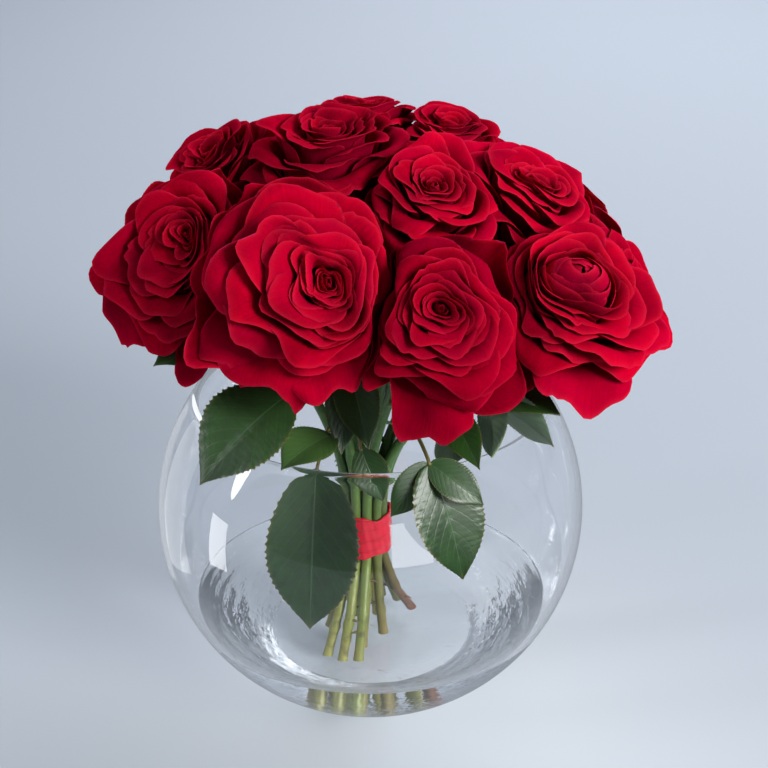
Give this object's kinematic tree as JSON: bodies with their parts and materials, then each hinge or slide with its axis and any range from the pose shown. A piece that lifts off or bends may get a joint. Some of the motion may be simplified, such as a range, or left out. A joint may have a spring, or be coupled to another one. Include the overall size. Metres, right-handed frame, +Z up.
{
  "type": "roses in a vase",
  "caption": "Hand-tied bunch of red roses in full bloom with serrated leaves, standing in shallow water in a round clear glass bowl.",
  "frame": {"origin": "centre of the bowl's flat foot, on the surface that it stands on", "axes": "+Z up along the bowl's axis, -Y towards the front of the bunch, +X to its right"},
  "size_m": [0.2457, 0.2369, 0.2752],
  "materials": {
    "glass": "clear, polished",
    "water": "clear still water",
    "tape": "glossy red tape",
    "petals": "velvety fresh petals",
    "leaves": "waxy green leaves and stems"
  },
  "bodies": {
    "root": {"bowl": "glass", "water": "water", "tie_band": "tape", "rose_01_stem": "leaves", "rose_01_bloom": "petals", "rose_02_stem": "leaves", "rose_02_bloom": "petals", "rose_03_stem": "leaves", "rose_03_bloom": "petals", "rose_04_stem": "leaves", "rose_04_bloom": "petals", "rose_05_stem": "leaves", "rose_05_bloom": "petals", "rose_06_stem": "leaves", "rose_06_bloom": "petals", "rose_07_stem": "leaves", "rose_07_bloom": "petals", "rose_08_stem": "leaves", "rose_08_bloom": "petals", "rose_09_stem": "leaves", "rose_09_bloom": "petals", "rose_10_stem": "leaves", "rose_10_bloom": "petals", "rose_11_stem": "leaves", "rose_11_bloom": "petals", "rose_12_stem": "leaves", "rose_12_bloom": "petals", "rose_13_stem": "leaves", "rose_13_bloom": "petals", "rose_14_stem": "leaves", "rose_14_bloom": "petals", "rose_15_stem": "leaves", "rose_15_bloom": "petals"}
  },
  "joints": []
}
